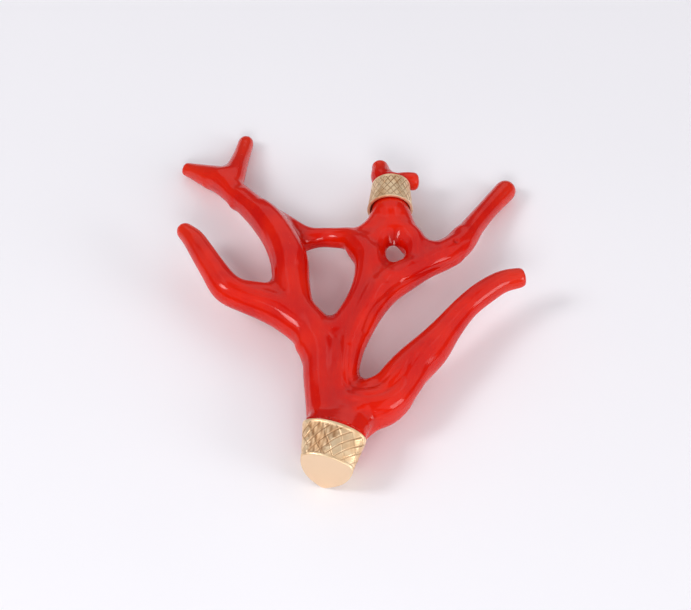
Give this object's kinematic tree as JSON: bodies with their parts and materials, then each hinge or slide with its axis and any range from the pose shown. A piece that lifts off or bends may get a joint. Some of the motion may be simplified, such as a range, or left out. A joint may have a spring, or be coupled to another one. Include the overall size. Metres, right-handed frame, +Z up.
{
  "type": "coral branch",
  "caption": "Polished red coral branch lying flat, forked with a bridged opening, its stem in an engraved gold cap and an upper branch in an engraved gold collar; an ornament.",
  "frame": {"origin": "on the surface the branch lies on, under the middle of its box", "axes": "+Y from the capped stem towards the tips, +Z up from the surface, +X to the right as seen from above with the stem nearest"},
  "size_m": [0.0603, 0.0784, 0.011],
  "materials": {
    "coral": "polished",
    "gold": "satin"
  },
  "bodies": {
    "root": {"stem": "coral", "left_limb": "coral", "lower_left_branch": "coral", "upper_left_branch": "coral", "bridge": "coral", "right_limb": "coral", "upper_right_branch": "coral", "collar_branch": "coral", "lower_right_branch": "coral", "tip_fork": "coral", "base_cap": "gold", "collar": "gold"}
  },
  "joints": []
}
